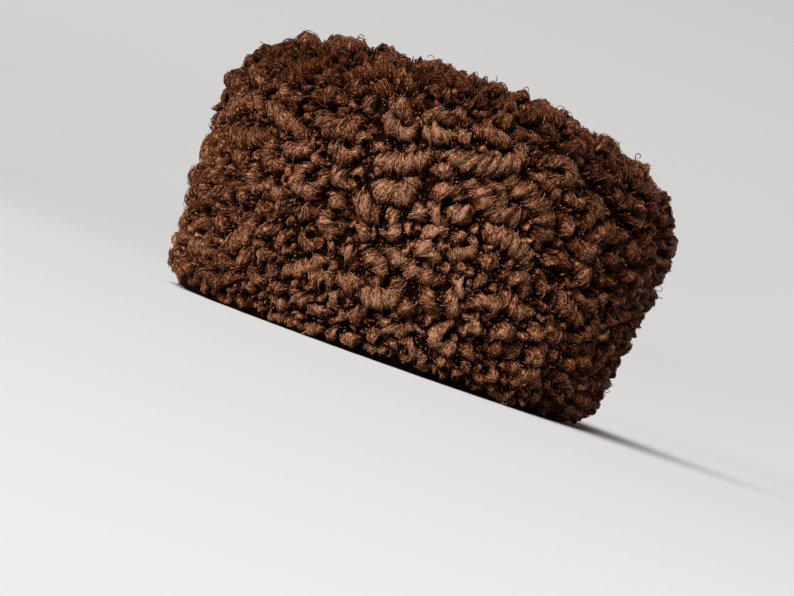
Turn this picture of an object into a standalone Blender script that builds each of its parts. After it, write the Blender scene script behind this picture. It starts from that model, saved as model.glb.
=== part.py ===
"""Fur hat: a tall oval hat of tightly curled lambskin, made as two solids, a side band and a crown.

Metres, +Z up. The front of the hat is towards -Y and the wearer's left towards +X. The origin is the
middle of the head opening, on the surface that the rim rests on.
"""

import math
import random

import bpy
import numpy as np
from mathutils import Vector
from mathutils.geometry import delaunay_2d_cdt

# Head opening, front to back and side to side
HEAD_LENGTH = 0.200
HEAD_WIDTH = 0.171

# Wall: pelt with its padding, and the curls that stand on it
BACKING_THICKNESS = 0.012
CURL_HEIGHT = 0.011

# Outside form, over the tips of the curls
HAT_HEIGHT = 0.137
SIDE_FLARE = 0.007
BACK_LEAN = 0.006
SHOULDER_ROUNDING = 0.037
CROWN_DOME = 0.005

# Rim, where the pelt turns under to the head opening
RIM_ROUNDING = 0.020
HEM_WIDTH = 0.006
HEM_ROUNDING = 0.0025

# Seam between the band and the crown, on the rounded shoulder
SEAM_ANGLE = math.radians(50)
SEAM_GAP = 0.0003

# Curls: how many round the hat, up the band and from the crown's seam to its middle
CURLS_ROUND = 36
BAND_ROWS = 10
CROWN_ROWS = 8
CURL_SEED = 7

# Facets round the seam, the hem and the plain inner faces, steps on each stretch of the outline,
# and where the inner face has its rings: shares of its corner's angle and of the wall's height
FACETS_ROUND = 60
OUTLINE_STEPS = 12
CORNER_RINGS = (1.0, 0.5, 0.0)
WALL_RINGS = (0.6, 0.25, 0.0)
SHARP_ANGLE = math.radians(60)

# The lengths from here to the finish are in widths of a curl, which is one row of them

# A curl's length, and the spread of its place, direction, bend and height
CURL_ASPECT = 1.6
PLACE_SPREAD = 0.14
TURN_SPREAD = math.radians(30)
BEND_SPREAD = 0.26
HEIGHT_SPREAD = 0.16

# One curl's points: share of its ridge's half length, place across it, share of its height
CURL_POINTS = (
    (-1.0, 0.0, 0.80),
    (0.0, 0.0, 1.00),
    (1.0, 0.0, 0.80),
    (0.0, -0.27, 0.86),
    (0.0, 0.27, 0.86),
)
RIDGE_LENGTH = 1.0

# Valleys between the curls: their height as a share of a curl's, the least distance from a ridge
# and from each other, and the spacing of the places tried
VALLEY_HEIGHT = 0.36
VALLEY_FROM_RIDGE = 0.36
VALLEY_SPACING = 0.40
VALLEY_GRID = 0.1

# The curls' height at the seam as a share, the bare margin at the seam and the hem, the rows over
# which the curls rise from the hem, and the overlap with which the band's pattern closes
SEAM_HEIGHT = 0.62
EDGE_MARGIN = 0.28
RIM_ROWS = 2.2
WRAP_OVERLAP = 5.0

# Finish: colour, roughness
SIDE_FUR = ((0.078, 0.026, 0.012), 0.62)
CROWN_FUR = ((0.064, 0.022, 0.011), 0.62)

WALL = BACKING_THICKNESS + CURL_HEIGHT
HALF_WIDTH = HEAD_WIDTH / 2 + WALL
HALF_LENGTH = HEAD_LENGTH / 2 + WALL
CROWN_LIFT = SEAM_GAP / math.cos(SEAM_ANGLE)
SHOULDER_CENTRE = HAT_HEIGHT - SHOULDER_ROUNDING - CROWN_DOME - CROWN_LIFT
INNER_ROUNDING = max(SHOULDER_ROUNDING - WALL, BACKING_THICKNESS / 3)
FACET_TURNS = np.arange(FACETS_ROUND) / FACETS_ROUND * 2 * math.pi


def clear_scene():
    for old in list(bpy.data.objects):
        bpy.data.objects.remove(old, do_unlink=True)


def band_line():
    """The tips' outline from the hem to the seam, as rows of inset, height and outward direction.

    An inset is how far a point lies inside the half width and half length of the rim.
    """
    rows = []
    reach = WALL - HEM_WIDTH - HEM_ROUNDING
    for angle in np.linspace(0, math.pi / 2, OUTLINE_STEPS):
        out = np.array([math.sin(angle) / reach, -math.cos(angle) / RIM_ROUNDING])
        out /= np.linalg.norm(out)
        inset = reach * (1 - math.sin(angle))
        rows.append((inset, RIM_ROUNDING * (1 - math.cos(angle)), *out))
    rise = SHOULDER_CENTRE - RIM_ROUNDING
    slope = SIDE_FLARE / rise
    out = np.array([1, -slope]) / math.hypot(1, slope)
    for share in np.linspace(0, 1, OUTLINE_STEPS)[1:]:
        rows.append((-SIDE_FLARE * share, RIM_ROUNDING + share * rise, *out))
    for angle in np.linspace(0, SEAM_ANGLE, OUTLINE_STEPS)[1:]:
        rows.append(shoulder_point(angle))
    return np.array(rows)


def shoulder_point(angle):
    """Inset, height and outward direction on the rounded shoulder, at an angle up from the wall."""
    inset = SHOULDER_ROUNDING * (1 - math.cos(angle)) - SIDE_FLARE
    height = SHOULDER_CENTRE + SHOULDER_ROUNDING * math.sin(angle)
    return inset, height, math.cos(angle), math.sin(angle)


def inner_point(angle):
    """Inset and height on the rounded inner corner, at an angle up from the inner wall."""
    inset = WALL - SIDE_FLARE + INNER_ROUNDING * (1 - math.cos(angle))
    centre = SHOULDER_CENTRE + SHOULDER_ROUNDING - WALL - INNER_ROUNDING
    return inset, centre + INNER_ROUNDING * math.sin(angle)


def along_line(line, share):
    """The line's columns at a share of its length."""
    steps = np.hypot(np.diff(line[:, 0]), np.diff(line[:, 1]))
    at = np.concatenate([[0], np.cumsum(steps)]) / steps.sum()
    return np.stack([np.interp(share, at, column) for column in line.T], axis=-1)


def oval(turn, inset, height):
    """Point of the oval at an angle from +X, an inset and a height. The rim sits forward of the crown."""
    forward = BACK_LEAN * np.clip(1 - height / SHOULDER_CENTRE, 0, 1)
    across = (HALF_WIDTH - inset) * np.cos(turn)
    along = (HALF_LENGTH - inset) * np.sin(turn) - forward
    return np.stack([across, along, np.broadcast_to(height, across.shape)], axis=-1)


def curl(place, direction, rng):
    """Points of one curl, as x, y and share of the curls' height, all in widths of a curl."""
    turn = direction + rng.uniform(-TURN_SPREAD, TURN_SPREAD)
    bend = rng.uniform(-BEND_SPREAD, BEND_SPREAD)
    tall = 1 - rng.uniform(0, HEIGHT_SPREAD)
    shift = np.array([rng.uniform(-PLACE_SPREAD, PLACE_SPREAD) for _ in range(2)])
    along = np.array([math.cos(turn), math.sin(turn)])
    across = np.array([-along[1], along[0]])
    points = []
    for length, side, height in CURL_POINTS:
        sideways = side + bend * (1 - length * length)
        point = place + shift + along * length * RIDGE_LENGTH / 2 + across * sideways
        points.append((*point, height * tall))
    return points


def ridge_distance(places, curls, period):
    """Distance from each place to the nearest ridge, which runs through a curl's first three points."""
    nearest = np.full(len(places), np.inf)
    for points in curls:
        for start, end in ((0, 1), (1, 2)):
            a = np.array(points[start][:2])
            run = np.array(points[end][:2]) - a
            away = places - a
            if period:
                away[:, 0] -= period * np.round(away[:, 0] / period)
            share = np.clip(away @ run / (run @ run), 0, 1)
            gap = away - share[:, None] * run
            nearest = np.minimum(nearest, np.hypot(gap[:, 0], gap[:, 1]))
    return nearest


def valley_points(places, curls, period=0):
    """Points of the valleys: the places farthest from the ridges, kept apart from each other."""
    far = ridge_distance(places, curls, period)
    chosen = np.empty((0, 2))
    for index in np.argsort(-far, kind="stable"):
        if far[index] < VALLEY_FROM_RIDGE:
            break
        away = chosen - places[index]
        if period:
            away[:, 0] -= period * np.round(away[:, 0] / period)
        if len(away) == 0 or np.hypot(away[:, 0], away[:, 1]).min() >= VALLEY_SPACING:
            chosen = np.vstack([chosen, places[index]])
    return [(x, y, VALLEY_HEIGHT) for x, y in chosen]


def triangles(flat):
    """Delaunay triangles of flat points, anticlockwise, as rows of three indices into them."""
    found = delaunay_2d_cdt([Vector(point) for point in flat], [], [], 0, 1e-7)
    source = [origins[0] for origins in found[3]]
    return np.array([[source[corner] for corner in face] for face in found[2]])


def ring(start):
    return list(range(start, start + FACETS_ROUND))


def strip_faces(lower, upper):
    """Triangles between two closed rings of points, facing out where the rings run anticlockwise."""
    faces = []
    for i in range(len(lower)):
        j = (i + 1) % len(lower)
        faces.append((lower[i], lower[j], upper[j]))
        faces.append((lower[i], upper[j], upper[i]))
    return faces


def band_relief():
    """Points and triangles of the band's curled outside, unrolled: x round the hat, y up from the hem."""
    rng = random.Random(CURL_SEED)
    length = CURLS_ROUND * CURL_ASPECT
    curls = []
    for row in range(BAND_ROWS):
        for column in range(CURLS_ROUND):
            x = (column + 0.5 * (row % 2)) * CURL_ASPECT
            curls.append(curl(np.array([x, row + 0.5]), 0.0, rng))
    across = np.arange(0, length - VALLEY_GRID / 2, VALLEY_GRID)
    up = np.arange(VALLEY_SPACING, BAND_ROWS - VALLEY_SPACING, VALLEY_GRID)
    places = np.stack(np.meshgrid(across, up), axis=-1).reshape(-1, 2)
    inside = [point for points in curls for point in points]
    inside += valley_points(places, curls, length)
    inside = [point for point in inside if EDGE_MARGIN < point[1] < BAND_ROWS - EDGE_MARGIN]
    edge = [i * length / FACETS_ROUND for i in range(FACETS_ROUND)]
    points = [(x, 0.0, 0.0) for x in edge]
    points += [(x, float(BAND_ROWS), SEAM_HEIGHT) for x in edge]
    points = np.array(points + inside)
    points[:, 0] %= length
    return points, wrapped_triangles(points[:, :2], length)


def wrapped_triangles(flat, length):
    """Triangles of points on a strip whose two ends meet, so that the strip closes with no seam."""
    count = len(flat)
    before = np.flatnonzero(flat[:, 0] > length - WRAP_OVERLAP)
    after = np.flatnonzero(flat[:, 0] < WRAP_OVERLAP)
    shift = np.array([length, 0])
    spread = np.vstack([flat, flat[before] - shift, flat[after] + shift])
    source = np.concatenate([np.arange(count), before, after])
    faces = triangles(spread)
    middle = spread[faces][:, :, 0].mean(axis=1)
    return source[faces[(middle >= 0) & (middle < length)]]


def band_mesh():
    """Points and faces of the side band: curls outside, a flat hem below and a plain face inside."""
    flat, faces = band_relief()
    length = CURLS_ROUND * CURL_ASPECT
    row = along_line(band_line(), flat[:, 1] / BAND_ROWS)
    under = np.clip(flat[:, 1] / RIM_ROWS, 0, 1)
    depth = CURL_HEIGHT * under * under * (3 - 2 * under) * (1 - flat[:, 2])
    turn = flat[:, 0] / length * 2 * math.pi
    points = oval(turn, row[:, 0] + depth * row[:, 2], row[:, 1] - depth * row[:, 3])
    faces = [tuple(face) for face in faces]
    hem = ring(0)
    last = ring(FACETS_ROUND)
    for inset, height in inner_sections():
        section = ring(len(points))
        points = np.vstack([points, oval(FACET_TURNS, inset, height)])
        faces += strip_faces(last, section)
        last = section
    faces += strip_faces(last, hem)
    return points, faces


def inner_sections():
    """Inset and height of the plain inner face's rings, from the seam down to the flat hem."""
    sections = [inner_point(SEAM_ANGLE * share) for share in CORNER_RINGS]
    rise = SHOULDER_CENTRE - HEM_ROUNDING
    for share in WALL_RINGS:
        sections.append((WALL - SIDE_FLARE * share, HEM_ROUNDING + share * rise))
    sections.append((WALL - HEM_ROUNDING, 0.0))
    return sections


def crown_relief():
    """Points and triangles of the crown's curled top, flattened to a round plan."""
    rng = random.Random(CURL_SEED + 1)
    curls = []
    for row in range(CROWN_ROWS):
        radius = row + 0.5
        count = max(1, round(2 * math.pi * radius / CURL_ASPECT))
        start = rng.uniform(0, 2 * math.pi)
        for i in range(count):
            turn = start + i * 2 * math.pi / count
            place = radius * np.array([math.cos(turn), math.sin(turn)])
            curls.append(curl(place, turn + math.pi / 2, rng))
    inside = [point for points in curls for point in points]
    grid = np.arange(-CROWN_ROWS, CROWN_ROWS, VALLEY_GRID)
    places = np.stack(np.meshgrid(grid, grid), axis=-1).reshape(-1, 2)
    places = places[np.hypot(places[:, 0], places[:, 1]) < CROWN_ROWS - VALLEY_SPACING]
    inside += valley_points(places, curls)
    inside = [point for point in inside if math.hypot(*point[:2]) < CROWN_ROWS - EDGE_MARGIN]
    edge = CROWN_ROWS * np.stack([np.cos(FACET_TURNS), np.sin(FACET_TURNS)], axis=-1)
    points = np.array([(x, y, SEAM_HEIGHT) for x, y in edge] + inside)
    return points, triangles(points[:, :2])


def crown_point(share, turn, depth):
    """Point of the crown at a share of the way out from its middle, an angle and a depth under the tips."""
    seam_inset = shoulder_point(SEAM_ANGLE)[0]
    middle = (HALF_WIDTH + HALF_LENGTH) / 2
    inset = seam_inset + (1 - share) * (middle - seam_inset)
    back = np.clip(SHOULDER_ROUNDING - SIDE_FLARE - inset, 0, SHOULDER_ROUNDING)
    out = back / SHOULDER_ROUNDING
    up = np.sqrt(1 - out * out)
    height = SHOULDER_CENTRE + SHOULDER_ROUNDING * up + CROWN_DOME * (1 - share * share)
    inset = inset + depth * out
    scale = (middle - inset) / (middle - seam_inset)
    across = scale * (HALF_WIDTH - seam_inset) * np.cos(turn)
    along = scale * (HALF_LENGTH - seam_inset) * np.sin(turn)
    return np.stack([across, along, height - depth * up + CROWN_LIFT], axis=-1)


def crown_mesh():
    """Points and faces of the crown: curls on top and a plain face underneath."""
    flat, faces = crown_relief()
    share = np.hypot(flat[:, 0], flat[:, 1]) / CROWN_ROWS
    turn = np.arctan2(flat[:, 1], flat[:, 0])
    points = crown_point(share, turn, CURL_HEIGHT * (1 - flat[:, 2]))
    faces = [tuple(face) for face in faces]
    inset, height, out, up = shoulder_point(SEAM_ANGLE)
    depth = CURL_HEIGHT * (1 - SEAM_HEIGHT)
    height += CROWN_LIFT - depth * up
    points[:FACETS_ROUND] = oval(FACET_TURNS, inset + depth * out, height)
    last = ring(0)
    for inset, height in (inner_point(SEAM_ANGLE), inner_point(math.pi / 2)):
        section = ring(len(points))
        points = np.vstack([points, oval(FACET_TURNS, inset, height + CROWN_LIFT)])
        faces += strip_faces(section, last)
        last = section
    middle = len(points)
    points = np.vstack([points, (0.0, 0.0, height + CROWN_DOME + CROWN_LIFT)])
    faces += [(last[i], middle, last[(i + 1) % FACETS_ROUND]) for i in range(FACETS_ROUND)]
    return points, faces


def fur(name, finish):
    colour, roughness = finish
    material = bpy.data.materials.new(name)
    material.use_nodes = True
    shader = material.node_tree.nodes["Principled BSDF"]
    shader.inputs["Base Color"].default_value = (*colour, 1.0)
    shader.inputs["Roughness"].default_value = roughness
    shader.inputs["Metallic"].default_value = 0.0
    return material


def add_piece(name, shape, material):
    points, faces = shape
    mesh = bpy.data.meshes.new(name)
    mesh.from_pydata(points.tolist(), [], [tuple(int(i) for i in face) for face in faces])
    mesh.shade_smooth()
    mesh.set_sharp_from_angle(angle=SHARP_ANGLE)
    mesh.materials.append(material)
    bpy.context.collection.objects.link(bpy.data.objects.new(name, mesh))


def build():
    clear_scene()
    add_piece("side_band", band_mesh(), fur("side_fur", SIDE_FUR))
    add_piece("crown_top", crown_mesh(), fur("crown_fur", CROWN_FUR))


build()
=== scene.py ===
"""Looks of the fur hat: tight lambskin curls on a dark hide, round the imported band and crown.

Metres, +Z up. The front of the hat is towards -Y and the wearer's left towards +X. Curls are laid out
on two flat charts, the unrolled band and the flattened crown, and then wrapped onto the hat's form.
"""

import math

import bpy
import numpy as np
from mathutils import Matrix, Vector


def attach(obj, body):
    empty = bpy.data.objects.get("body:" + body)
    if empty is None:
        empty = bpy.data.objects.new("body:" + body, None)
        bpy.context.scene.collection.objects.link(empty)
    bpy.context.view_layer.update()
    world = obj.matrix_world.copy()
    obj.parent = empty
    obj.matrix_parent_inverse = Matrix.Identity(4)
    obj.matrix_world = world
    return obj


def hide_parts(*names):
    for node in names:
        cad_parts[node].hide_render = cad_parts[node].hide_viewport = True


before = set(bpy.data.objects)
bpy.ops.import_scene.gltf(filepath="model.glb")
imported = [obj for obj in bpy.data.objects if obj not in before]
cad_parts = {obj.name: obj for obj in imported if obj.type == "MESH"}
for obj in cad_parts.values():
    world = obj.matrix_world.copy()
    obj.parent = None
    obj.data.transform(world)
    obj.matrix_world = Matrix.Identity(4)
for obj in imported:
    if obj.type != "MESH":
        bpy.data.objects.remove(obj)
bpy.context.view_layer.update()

MM = 0.001
TURN = 2 * math.pi
SEED = 11

# Camera, in the photograph's frame: its target is the point at half the hat's height
FRAME_WIDTH, FRAME_HEIGHT = 794, 596
SENSOR = 36.0
FOCAL_PIXELS = 1115
CAMERA_AZIMUTH = math.radians(45)
CAMERA_ELEVATION = math.radians(-5.5)
CAMERA_ROLL = math.radians(19.7)
CAMERA_DISTANCE = 0.575
TARGET_HEIGHT = 0.0685
TARGET_PIXEL = (433, 233)
CLIP_START = 0.01

# Form over the tips of the curls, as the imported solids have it
HEAD_LENGTH = 0.200
HEAD_WIDTH = 0.171
WALL = 0.023
HAT_HEIGHT = 0.137
SIDE_FLARE = 0.007
BACK_LEAN = 0.006
SHOULDER_ROUNDING = 0.037
CROWN_DOME = 0.005
RIM_ROUNDING = 0.020
HEM_WIDTH = 0.006
HEM_ROUNDING = 0.0025
SEAM_ANGLE = math.radians(50)
SEAM_GAP = 0.0003
OUTLINE_STEPS = 40

# Hide under the curls: depth, rise at the hem, points round and up, and rings of its inner face
HIDE_DEPTH = 0.0085
HEM_RISE = 0.0040
HIDE_ROUND = 96
HIDE_ROWS = 36
CORNER_RINGS = (1.0, 0.75, 0.5, 0.25, 0.0)
WALL_RINGS = (0.85, 0.7, 0.55, 0.4, 0.25, 0.1, 0.0)
CORNER_STEPS = 5
CROWN_RINGS = (0.75, 0.5, 0.25)

# Curls: radius of a full one, its shares at the hem and on the crown, and how far sizes vary
CURL_RADIUS = 0.0046
HEM_SHARE = 0.66
HEM_REACH = 0.020
CROWN_SHARE = 0.92
CURL_SIZES = (0.92, 1.08)

# Kinds of curl: share of them all, length in radii, bend over it and hook at its end in degrees
CURL_KINDS = (
    (0.46, (3.8, 7.0), (-50, 50), (-80, 80)),
    (0.29, (2.6, 4.2), (20, 80), (60, 150)),
    (0.06, (4.2, 5.2), (210, 270), (0, 30)),
    (0.19, (1.0, 2.0), (0, 60), (0, 60)),
)

# How the curls' ways wave and spread, and the number, lengths and height of the waves
HEADING_WAVE = math.radians(28)
HEADING_SPREAD = math.radians(21)
WAVE_COUNT = 5
WAVE_PITCH = (0.05, 0.11)
WAVE_HEIGHT = 0.5

# Packing passes: shares of radius and length, depth of the tips, its spread, spacing and rounds
PACK_PASSES = (
    (1.14, 1.00, 0.0000, 0.0022, 0.70, 2),
    (1.03, 1.00, 0.0000, 0.0026, 0.70, 5),
    (0.88, 1.10, 0.0002, 0.0026, 0.70, 9),
    (0.74, 1.10, 0.0004, 0.0026, 0.68, 10),
    (0.62, 1.00, 0.0010, 0.0026, 0.64, 10),
    (0.55, 0.90, 0.0018, 0.0026, 0.56, 8),
    (0.52, 0.90, 0.0028, 0.0020, 0.36, 8),
    (0.45, 0.80, 0.0032, 0.0020, 0.30, 8),
)

# Packing: curls tried and kept in a round, depth shares, cells, checks along a curl, and margins
TRIES = 2500
KEPT_EACH = 40
DEPTH_SHARES = (-0.2, 1.0)
CELL = 0.00075
SPINE_CHECKS = 10
EDGE_MARGIN = 0.0007
SEAM_REACH = 0.02

# Curl surface: ribs, unevenness, slant, thinner and lower ends, lean, and lumps along it
RIB_STEP = 0.0015
RIB_HEIGHT = 0.00012
CLUMP_SPREAD = 0.05
RAGGED = 0.05
SLANT = (math.radians(8), math.radians(36))
TAPER = (0.20, 0.55)
NOSE = (0.05, 0.40)
END_DIP = 0.0028
LEAN = 0.30
LUMP_PITCH = (0.0034, 0.0062)
LUMP_SHARE = 0.10
LUMP_SWAY = 0.0007
LUMP_RISE = 0.0008
LUMP_TURNS = (0.61, 0.77)

# Ends and section of a curl: cap rings and dent, points round it, flatness under it, and steps
CAP_ANGLES = (26, 58)
DENT_DEPTH = 0.5
ROUND_ANGLES = np.radians([0, 40, 77, 112, 248, 283, 320])
FLAT_UNDER = 0.55
SPINE_STEPS = 24

# Locks over a curl: area for one, middle and reach round it, lift, wave, form, drift and tones
LOCK_AREA = 0.0000018
LOCK_MIDDLE = math.radians(68)
LOCK_REACH = (math.radians(45), math.radians(115))
LOCK_PEEL = 0.30
LOCK_LIFT = (-0.03, 0.13)
LOCK_WAVE = 0.00025
LOCK_POINTS = 4
LOCK_RADIUS = 0.00031
LOCK_PAST = 0.65
LOCK_DRIFT = (0.0013, 0.0008, 0.00055)
BUNDLE_LENGTH = 0.0038245
LOCK_TONES = 0.36

# Depths of a curl's top between which its locks get fewer, and the least share of them
LOCK_SHARE = (0.0015, 0.0040, 0.45)

# Small loops that stand up off the outermost curls
LOOP_DEPTH = 0.0018
LOOP_SHARE = 0.20
LOOP_SIZE = (0.0007, 0.0022)
LOOP_POINTS = 9
LOOP_RADIUS = 0.00034

# Stray hairs: length of curl for one, points, thickness, lift off the curl and drift along it
HAIR_PITCH = 0.0016
HAIR_POINTS = 4
HAIR_RADIUS = 0.00019
HAIR_LIFT = (0.08, 0.5)
HAIR_DRIFT = 0.0015

# Under-fur in the gaps, painted dark as shade: tries for each square metre, room, rise, lean, form and
# painted shade
UNDER_TRIES = 380000
UNDER_ROOM = 0.0001
UNDER_RISE = (0.0024, 0.0062)
UNDER_LEAN = 0.0028
UNDER_POINTS = 4
UNDER_RADIUS = 0.00034
UNDER_TURN = 1.2
UNDER_BOW = 0.6 * math.pi
UNDER_SUNK = 0.0003
UNDER_SHADE = (0.7, 0.5)

# Strands: a direction that none of them follows, and the least length of a direction
ASKEW = np.array([0.31, 0.52, 0.79])
TINY = 1e-12

# Lowest point of the fur, how far round a curl its painted root shade reaches, and tones of curls and
# locks
LOWEST = 0.0001
FALL_ANGLE = math.radians(110)
CURL_FALL = 0.22
CURL_TONES = (-0.15, 0.65)
TONE_LIMITS = (-0.2, 1.4)

# A patch of painted light on the front fur: its middle and half width round the band, its height and its
# tone
PAINTED_LIGHT_TURN = math.radians(-46)
PAINTED_LIGHT_WIDTH = math.radians(28)
PAINTED_LIGHT_RISE = (0.075, 0.075)
PAINTED_LIGHT_TONE = 1.40

# Shoulder and crown: painted darker as shade, and more uneven, and the heights between which that sets in
HIGH_PAINTED_SHADE = -1.90
CROWN_PAINTED_SHADE = -0.60
HIGH_RELIEF = 1.6
HIGH_RISE = (0.098, 0.136)

# A dark parting on the wearer's left: its ends as an angle from +X and a height, and its form
PARTING = ((math.radians(-31), 0.1275), (math.radians(2), 0.0995))
PARTING_HALF = 0.0017
PARTING_POINTS = 40
PARTING_SWAY = 0.0015
PARTING_PITCH = 0.0045

# Behind the parting: smaller curls, painted darker as shade, and the angles where that starts and ends
BEHIND_SHARE = 0.88
BEHIND_PAINTED_SHADE = -0.75
BEHIND_TURNS = np.radians([-16, 12, 40, 75])


def band_line():
    """The tips' outline from the hem to the seam, as rows of inset, height and outward direction."""
    rows = []
    reach = WALL - HEM_WIDTH - HEM_ROUNDING
    for angle in np.linspace(0, math.pi / 2, OUTLINE_STEPS):
        out = np.array([math.sin(angle) / reach, -math.cos(angle) / RIM_ROUNDING])
        out /= np.linalg.norm(out)
        rows.append((reach * (1 - math.sin(angle)), RIM_ROUNDING * (1 - math.cos(angle)), *out))
    rise = SHOULDER_CENTRE - RIM_ROUNDING
    slope = SIDE_FLARE / rise
    out = np.array([1, -slope]) / math.hypot(1, slope)
    for share in np.linspace(0, 1, OUTLINE_STEPS)[1:]:
        rows.append((-SIDE_FLARE * share, RIM_ROUNDING + share * rise, *out))
    for angle in np.linspace(0, SEAM_ANGLE, OUTLINE_STEPS)[1:]:
        rows.append(shoulder_point(angle))
    return np.array(rows)


def shoulder_point(angle):
    """Inset, height and outward direction on the rounded shoulder, at an angle up from the wall."""
    inset = SHOULDER_ROUNDING * (1 - math.cos(angle)) - SIDE_FLARE
    height = SHOULDER_CENTRE + SHOULDER_ROUNDING * math.sin(angle)
    return inset, height, math.cos(angle), math.sin(angle)


def inner_point(angle):
    """Inset and height on the rounded inner corner, at an angle up from the inner wall."""
    inset = WALL - SIDE_FLARE + INNER_ROUNDING * (1 - math.cos(angle))
    centre = SHOULDER_CENTRE + SHOULDER_ROUNDING - WALL - INNER_ROUNDING
    return inset, centre + INNER_ROUNDING * math.sin(angle)


def oval(turn, inset, height):
    """Point of the oval at an angle from +X, an inset and a height. The rim is forward of the crown."""
    forward = BACK_LEAN * np.clip(1 - height / SHOULDER_CENTRE, 0, 1)
    across = (HALF_WIDTH - inset) * np.cos(turn)
    along = (HALF_LENGTH - inset) * np.sin(turn) - forward
    return np.stack([across, along, np.broadcast_to(height, across.shape)], axis=-1)


HALF_WIDTH = HEAD_WIDTH / 2 + WALL
HALF_LENGTH = HEAD_LENGTH / 2 + WALL
CROWN_LIFT = SEAM_GAP / math.cos(SEAM_ANGLE)
SHOULDER_CENTRE = HAT_HEIGHT - SHOULDER_ROUNDING - CROWN_DOME - CROWN_LIFT
INNER_ROUNDING = SHOULDER_ROUNDING - WALL
LINE = band_line()
LINE_STEPS = np.hypot(np.diff(LINE[:, 0]), np.diff(LINE[:, 1]))
LINE_AT = np.concatenate([[0], np.cumsum(LINE_STEPS)])
BAND_RISE = LINE_AT[-1]
BAND_ROUND = math.pi * (HALF_WIDTH + HALF_LENGTH + SIDE_FLARE)
HIDE_TURNS = np.arange(HIDE_ROUND) / HIDE_ROUND * TURN


def band_turn(flat):
    """Angle from +X of a place on the band's chart."""
    return flat[..., 0] / BAND_ROUND * TURN


def centred(turn):
    """The same angle, within half a turn of 0."""
    return (turn + math.pi) % TURN - math.pi


def band_point(flat, depth):
    """Point of the band from its chart, round the hat and up from the hem, at a depth under the tips."""
    row = [np.interp(flat[..., 1], LINE_AT, column) for column in LINE.T]
    return oval(band_turn(flat), row[0] + depth * row[2], row[1] - depth * row[3])


def crown_at(share, turn, depth):
    """Point of the crown at a share of the way out, an angle and a depth under the tips."""
    seam_inset = shoulder_point(SEAM_ANGLE)[0]
    middle = (HALF_WIDTH + HALF_LENGTH) / 2
    inset = seam_inset + (1 - share) * (middle - seam_inset)
    back = np.clip(SHOULDER_ROUNDING - SIDE_FLARE - inset, 0, SHOULDER_ROUNDING)
    out = back / SHOULDER_ROUNDING
    up = np.sqrt(1 - out * out)
    height = SHOULDER_CENTRE + SHOULDER_ROUNDING * up + CROWN_DOME * (1 - share * share)
    inset = inset + depth * out
    scale = (middle - inset) / (middle - seam_inset)
    across = scale * (HALF_WIDTH - seam_inset) * np.cos(turn)
    along = scale * (HALF_LENGTH - seam_inset) * np.sin(turn)
    return np.stack([across, along, height - depth * up + CROWN_LIFT], axis=-1)


def crown_reach(turn):
    """Length over the crown from its middle to the seam, at an angle."""
    points = crown_at(np.linspace(0, 1, OUTLINE_STEPS), np.full(OUTLINE_STEPS, turn), 0.0)
    return np.linalg.norm(np.diff(points, axis=0), axis=1).sum()


CROWN_HALF = np.array([crown_reach(0.0), crown_reach(math.pi / 2)])


def crown_point(flat, depth):
    """Point of the crown from its chart, a flat oval as wide as the crown is over its dome."""
    plan = flat / CROWN_HALF
    share = np.hypot(plan[..., 0], plan[..., 1])
    return crown_at(share, np.arctan2(plan[..., 1], plan[..., 0]), depth)


def ways(angle):
    """Unit steps at angles on a chart."""
    return np.stack([np.cos(angle), np.sin(angle)], axis=-1)


def aside(ahead):
    """Unit steps to the left of others."""
    return np.stack([-ahead[..., 1], ahead[..., 0]], axis=-1)


def waves(flat, rng):
    """A smooth field of about -1 to 1 over a chart."""
    total = np.zeros(flat.shape[:-1])
    for _ in range(WAVE_COUNT):
        way = rng.uniform(0, TURN)
        pitch = rng.uniform(*WAVE_PITCH)
        run = flat[..., 0] * math.cos(way) + flat[..., 1] * math.sin(way)
        total += WAVE_HEIGHT * np.sin(run / pitch * TURN + rng.uniform(0, TURN))
    return total


class Chart:
    """A flat chart of part of the hat, with the room left on it: the distance to the nearest curl."""

    def __init__(self, low, high, wrap):
        self.low, self.high, self.wrap = np.array(low), np.array(high), wrap
        self.cells = np.ceil((self.high - self.low) / CELL).astype(int)
        self.room = np.full(self.cells, 1.0)

    def index(self, flat):
        cell = ((flat - self.low) / CELL).astype(int)
        if self.wrap:
            cell[..., 0] %= self.cells[0]
        return np.clip(cell, 0, self.cells - 1)

    def room_at(self, flat):
        cell = self.index(flat)
        return self.room[cell[..., 0], cell[..., 1]]

    def fill(self, flat, radii):
        """Takes a curl's spine points and radii off the room round them."""
        for (x, y), radius in zip(flat, radii):
            reach = int((radius + 2 * CURL_RADIUS) / CELL) + 1
            column, row = int((x - self.low[0]) / CELL), int((y - self.low[1]) / CELL)
            columns = np.arange(column - reach, column + reach + 1)
            rows = np.arange(row - reach, row + reach + 1)
            rows = rows[(rows >= 0) & (rows < self.cells[1])]
            if not self.wrap:
                columns = columns[(columns >= 0) & (columns < self.cells[0])]
            across = (columns + 0.5) * CELL + self.low[0] - x
            up = (rows + 0.5) * CELL + self.low[1] - y
            away = np.hypot(across[:, None], up[None, :]) - radius
            place = np.ix_(columns % self.cells[0], rows)
            self.room[place] = np.minimum(self.room[place], away)


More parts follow.
